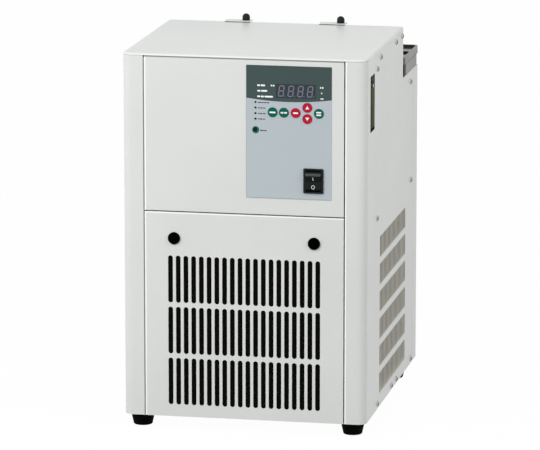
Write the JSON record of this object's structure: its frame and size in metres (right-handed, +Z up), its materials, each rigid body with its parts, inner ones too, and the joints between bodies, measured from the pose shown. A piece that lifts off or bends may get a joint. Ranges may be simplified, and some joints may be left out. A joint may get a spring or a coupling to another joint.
{
  "type": "heating and cooling circulator",
  "caption": "Benchtop heating and cooling circulator: upright painted box with a slotted front grille, control panel, level window and a recessed reservoir rim.",
  "frame": {"origin": "centre of the bounding box's bottom face, on the surface the feet stand on", "axes": "+Z up; the control panel faces -Y; +X to the right seen from the front"},
  "size_m": [0.2836, 0.382, 0.4423],
  "materials": {
    "painted_sheet": "smooth semi-gloss light grey enamel on folded steel",
    "rubber_black": "moulded, matt",
    "screw_steel": "plated pan heads with cross slots",
    "overlay_film": "printed film, satin, dark band at its top",
    "display_window": "dark filter window over the digits",
    "lamp_lens": "small dark lenses",
    "circuit_board": "green resist",
    "supply_case": "plain open tray",
    "black_plastic": "moulded, satin",
    "green_key": "moulded key, satin to gloss",
    "red_key": "moulded key, satin to gloss",
    "stainless": "rolled sheet with a fine grain",
    "black_foam": "closed-cell foam, matt",
    "gauge_tube": "translucent tube, slightly olive",
    "aluminium_fins": "bare fins",
    "motor_enamel": "black enamel",
    "copper": "bare copper tube, slightly dull",
    "impeller_plastic": "moulded, natural",
    "hose_silicone": "milky hose",
    "brass": "turned, plain",
    "lever_plastic": "blue moulded lever"
  },
  "bodies": {
    "housing": {"base_chassis": "painted_sheet", "left_side_cover": "painted_sheet", "right_side_cover": "painted_sheet", "top_cover": "painted_sheet", "upper_front_panel": "painted_sheet", "lower_front_grille": "painted_sheet", "rear_panel": "painted_sheet", "recess_wall": "painted_sheet", "front_rail": "painted_sheet", "middle_deck": "painted_sheet", "rubber_feet": "rubber_black", "cover_screws": "screw_steel", "control_overlay": "overlay_film", "display_module": "display_window", "indicator_lamps": "lamp_lens", "control_board": "circuit_board", "power_supply": "supply_case", "switch_body": "black_plastic", "knob_brackets": "painted_sheet", "reservoir_tank": "stainless", "tank_insulation": "black_foam", "tank_rim": "stainless", "tank_lids": "black_plastic", "evaporator_coil": "copper", "immersion_heater": "stainless", "temperature_sensor": "stainless", "gauge_holder": "black_plastic", "sight_tube": "gauge_tube", "gauge_pipe": "black_plastic", "dust_filter": "black_foam", "condenser": "aluminium_fins", "fan_shroud": "black_plastic", "fan_motor": "motor_enamel", "compressor": "motor_enamel", "compressor_mounts": "rubber_black", "filter_drier": "copper", "discharge_pipe": "copper", "suction_pipe": "copper", "capillary_tube": "copper", "pump_motor": "motor_enamel", "pump_head": "black_plastic", "coolant_pipes": "hose_silicone", "hose_nozzles": "stainless", "drain_cock": "brass", "power_inlet": "black_plastic"},
    "rocker": {"switch_rocker": "black_plastic"},
    "mode_button": {"mode_key": "green_key"},
    "pump_button": {"pump_key": "green_key"},
    "set_button": {"set_key": "red_key"},
    "up_button": {"up_key": "red_key"},
    "down_button": {"down_key": "red_key"},
    "run_button": {"run_key": "green_key"},
    "fan": {"fan_rotor": "black_plastic"},
    "impeller": {"pump_impeller": "impeller_plastic"},
    "left_quarter_turn": {"left_fastener": "black_plastic"},
    "right_quarter_turn": {"right_fastener": "black_plastic"},
    "left_knob": {"left_thumb_screw": "black_plastic"},
    "right_knob": {"right_thumb_screw": "black_plastic"},
    "drain_handle": {"drain_lever": "lever_plastic"}
  },
  "joints": [
    {"name": "rocker_joint", "type": "hinge", "parent": "housing", "child": "rocker", "pos_m": [0.0798, -0.181, 0.2941], "axis": [-1, 0, 0], "range_deg": [0, 16]},
    {"name": "mode_button_joint", "type": "slide", "parent": "housing", "child": "mode_button", "axis": [0, 1, 0], "range_m": [0, 0.0005], "stiffness_N_per_m": 2000},
    {"name": "pump_button_joint", "type": "slide", "parent": "housing", "child": "pump_button", "axis": [0, 1, 0], "range_m": [0, 0.0005], "stiffness_N_per_m": 2000},
    {"name": "set_button_joint", "type": "slide", "parent": "housing", "child": "set_button", "axis": [0, 1, 0], "range_m": [0, 0.0005], "stiffness_N_per_m": 2000},
    {"name": "up_button_joint", "type": "slide", "parent": "housing", "child": "up_button", "axis": [0, 1, 0], "range_m": [0, 0.0005], "stiffness_N_per_m": 2000},
    {"name": "down_button_joint", "type": "slide", "parent": "housing", "child": "down_button", "axis": [0, 1, 0], "range_m": [0, 0.0005], "stiffness_N_per_m": 2000},
    {"name": "run_button_joint", "type": "slide", "parent": "housing", "child": "run_button", "axis": [0, 1, 0], "range_m": [0, 0.0005], "stiffness_N_per_m": 2000},
    {"name": "fan_joint", "type": "hinge", "parent": "housing", "child": "fan", "pos_m": [0, -0.101, 0.117], "axis": [0, 1, 0], "continuous": true},
    {"name": "impeller_joint", "type": "hinge", "parent": "housing", "child": "impeller", "pos_m": [0.095, 0.077, 0.065], "axis": [0, 1, 0], "continuous": true},
    {"name": "left_quarter_turn_joint", "type": "hinge", "parent": "housing", "child": "left_quarter_turn", "pos_m": [-0.0805, -0.185, 0.2223], "axis": [0, 1, 0], "range_deg": [0, 90]},
    {"name": "right_quarter_turn_joint", "type": "hinge", "parent": "housing", "child": "right_quarter_turn", "pos_m": [0.0805, -0.185, 0.2223], "axis": [0, 1, 0], "range_deg": [0, 90]},
    {"name": "left_knob_joint", "type": "hinge", "parent": "housing", "child": "left_knob", "pos_m": [-0.0478, 0.0656, 0.4342], "axis": [0, 0, 1], "continuous": true},
    {"name": "right_knob_joint", "type": "hinge", "parent": "housing", "child": "right_knob", "pos_m": [0.065, 0.0656, 0.4342], "axis": [0, 0, 1], "continuous": true},
    {"name": "drain_handle_joint", "type": "hinge", "parent": "housing", "child": "drain_handle", "pos_m": [-0.105, 0.1758, 0.055], "axis": [0, 0, 1], "range_deg": [0, 90]}
  ]
}
